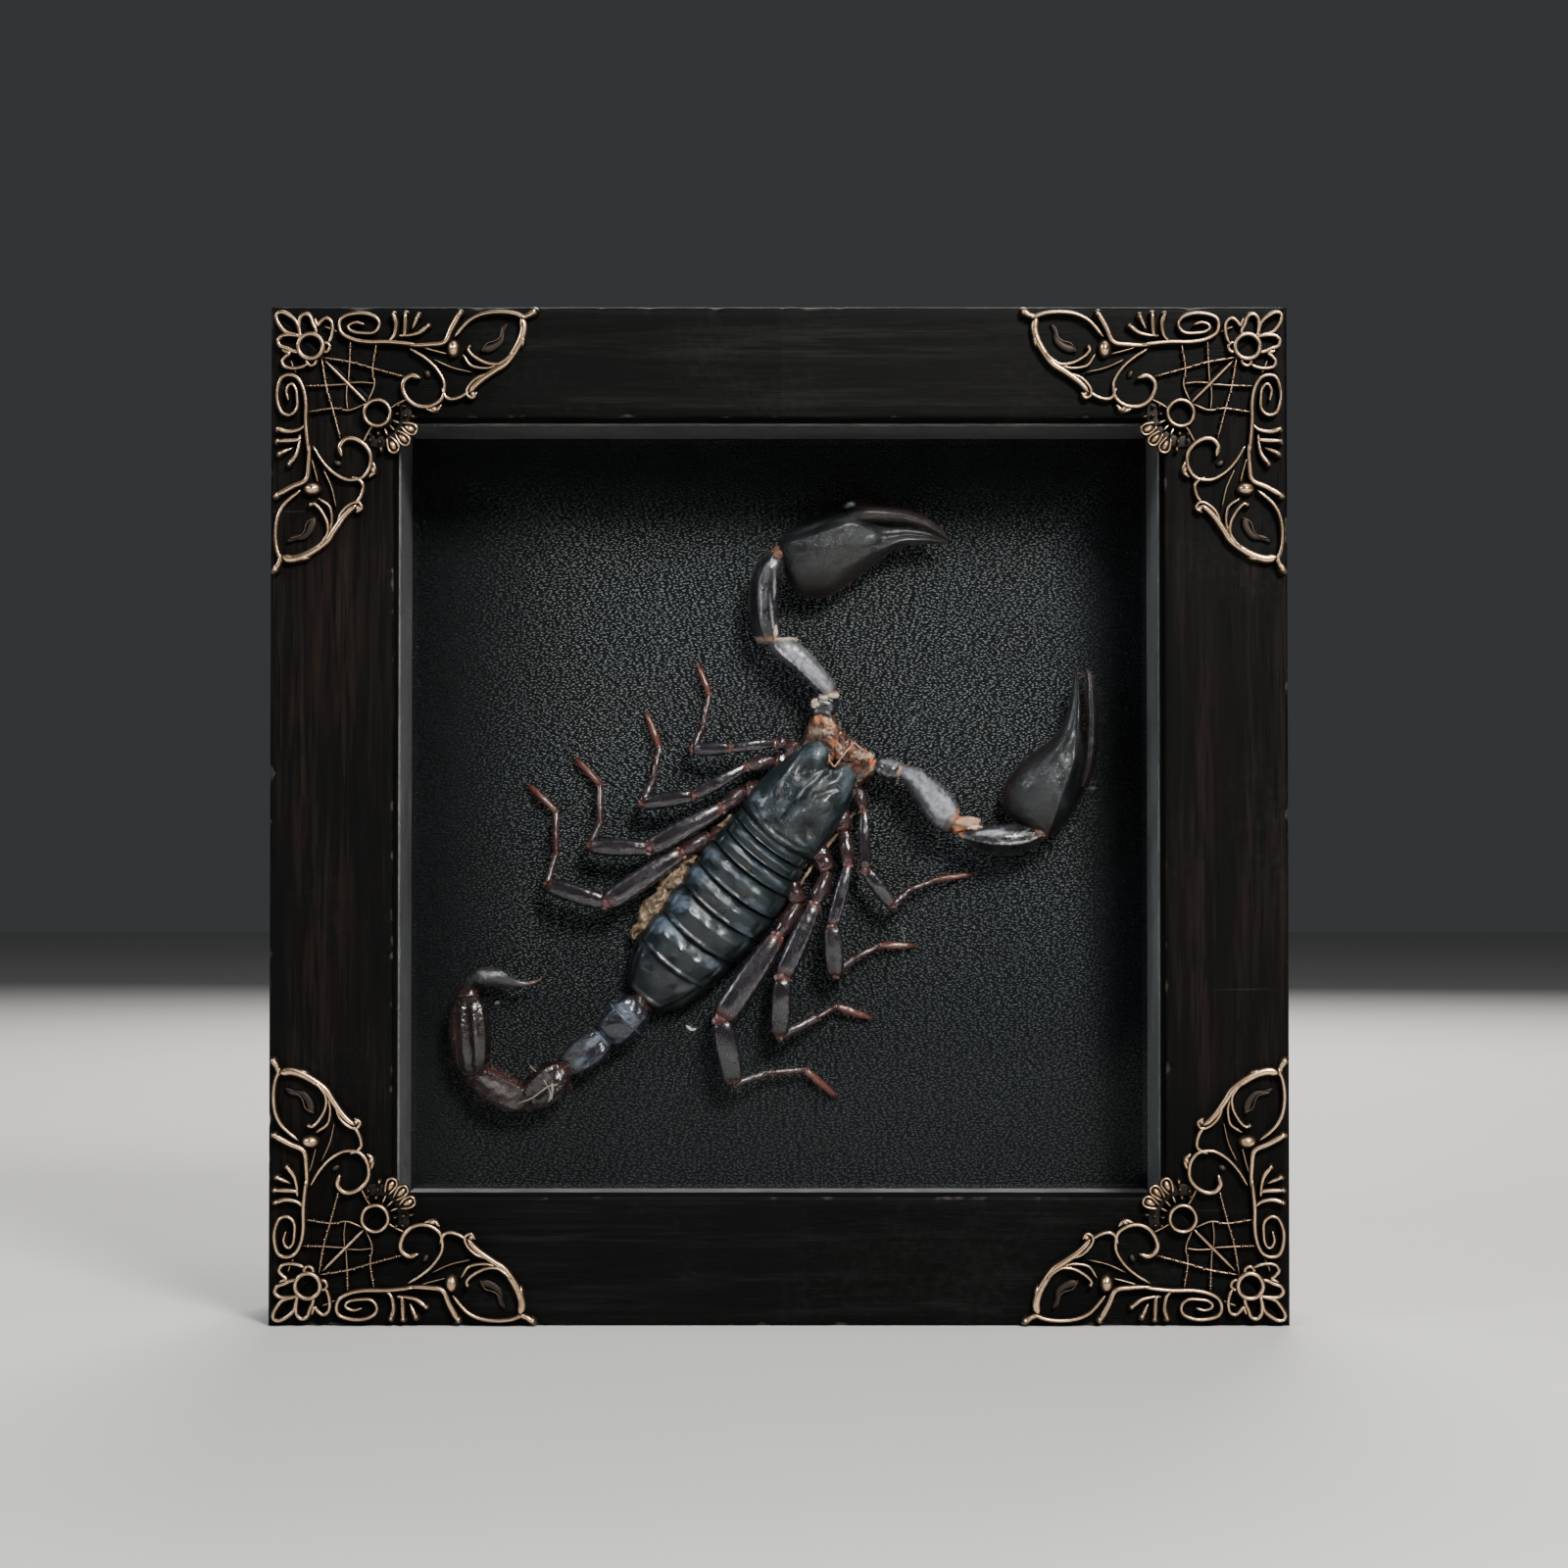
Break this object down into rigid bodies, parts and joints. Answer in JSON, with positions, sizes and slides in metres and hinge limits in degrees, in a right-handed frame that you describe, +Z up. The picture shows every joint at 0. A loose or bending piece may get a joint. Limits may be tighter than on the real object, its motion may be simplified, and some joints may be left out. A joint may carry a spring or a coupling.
{
  "type": "framed scorpion specimen",
  "caption": "Square dark shadow-box frame with antique-bronze filigree corners, holding a dried black scorpion on embossed leatherette behind glass.",
  "frame": {"origin": "middle of the underside of the frame, at the middle of its depth", "axes": "-Y is the front that the glass faces, +X is the viewer's right, +Z is up"},
  "size_m": [0.16, 0.0378, 0.16],
  "materials": {
    "frame_wood": "near-black stain, satin, with faint grain",
    "glass": "clear",
    "spacer": "dark grey, slightly glossy",
    "leatherette": "black, embossed with fine pebbles, soft gloss",
    "board": "black paint on fibreboard, matte",
    "antique_bronze": "antique bronze, dark in its recesses and rubbed bright on its edges",
    "steel": "zinc plated, slightly dull",
    "shell": "glossy blue-black shell, with red-brown legs and claw tips and amber joints"
  },
  "bodies": {
    "root": {"rail_top": "frame_wood", "rail_bottom": "frame_wood", "rail_left": "frame_wood", "rail_right": "frame_wood", "glass_pane": "glass", "spacer_top": "spacer", "spacer_bottom": "spacer", "spacer_left": "spacer", "spacer_right": "spacer", "backing_panel": "leatherette", "back_board": "board", "back_point_left_1": "steel", "back_point_left_2": "steel", "back_point_right_1": "steel", "back_point_right_2": "steel", "back_point_top_1": "steel", "back_point_top_2": "steel", "back_point_bottom_1": "steel", "back_point_bottom_2": "steel", "hanger": "steel", "hanger_nail_1": "steel", "hanger_nail_2": "steel", "corner_top_left": "antique_bronze", "corner_top_right": "antique_bronze", "corner_bottom_left": "antique_bronze", "corner_bottom_right": "antique_bronze", "scorpion_body": "shell", "scorpion_tail": "shell", "scorpion_pincer_left": "shell", "scorpion_pincer_right": "shell"}
  },
  "joints": []
}
